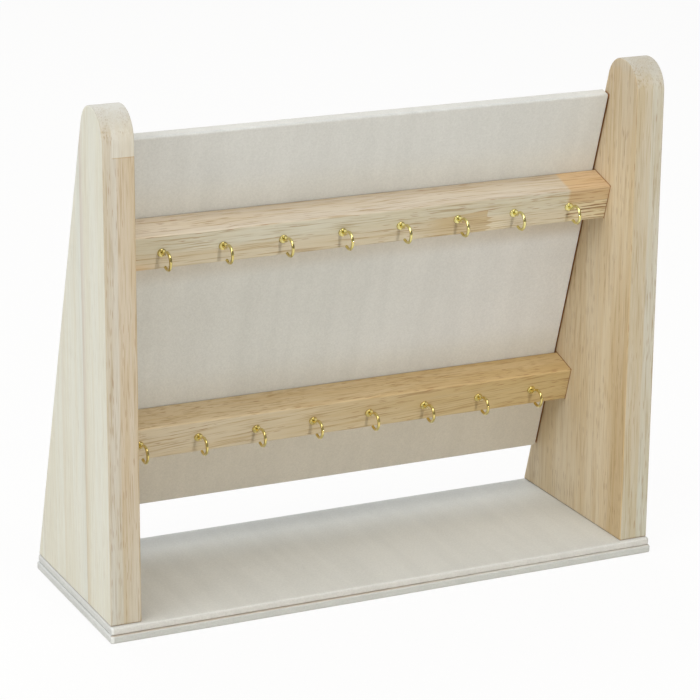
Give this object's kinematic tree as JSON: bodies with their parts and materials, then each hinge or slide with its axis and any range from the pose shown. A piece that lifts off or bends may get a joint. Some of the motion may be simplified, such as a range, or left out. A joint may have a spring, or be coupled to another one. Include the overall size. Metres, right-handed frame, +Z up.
{
  "type": "necklace stand",
  "caption": "Tapered wooden side panels hold a leaning velvet panel with rows of brass cup hooks over a velvet-covered base, for hanging necklaces.",
  "frame": {"origin": "on the surface the stand rests on, under the middle of the base", "axes": "X to the right along the rails, Y to the back, Z up; the hooks point towards -Y"},
  "size_m": [0.38, 0.138, 0.3296],
  "materials": {
    "panel_wood": "clear satin lacquer",
    "rail_wood": "clear satin lacquer",
    "panel_velvet": "short-pile velvet",
    "base_velvet": "short-pile velvet",
    "hook_brass": "polished, lacquered",
    "fibreboard": "bare fibreboard",
    "screw_steel": "zinc plated",
    "dowel_wood": "bare"
  },
  "bodies": {
    "root": {"base_bottom_board": "fibreboard", "base_bottom_velvet": "base_velvet", "base_screws": "screw_steel", "base_top_board": "fibreboard", "base_top_velvet": "base_velvet", "lower_hook_1": "hook_brass", "lower_hook_2": "hook_brass", "lower_hook_3": "hook_brass", "lower_hook_4": "hook_brass", "lower_hook_5": "hook_brass", "lower_hook_6": "hook_brass", "lower_hook_7": "hook_brass", "lower_hook_8": "hook_brass", "lower_rail": "rail_wood", "panel_board": "fibreboard", "panel_lining": "panel_velvet", "panel_screws": "screw_steel", "panel_velvet": "panel_velvet", "rail_dowels": "dowel_wood", "side_panel_left": "panel_wood", "side_panel_right": "panel_wood", "upper_hook_1": "hook_brass", "upper_hook_2": "hook_brass", "upper_hook_3": "hook_brass", "upper_hook_4": "hook_brass", "upper_hook_5": "hook_brass", "upper_hook_6": "hook_brass", "upper_hook_7": "hook_brass", "upper_hook_8": "hook_brass", "upper_rail": "rail_wood"}
  },
  "joints": []
}
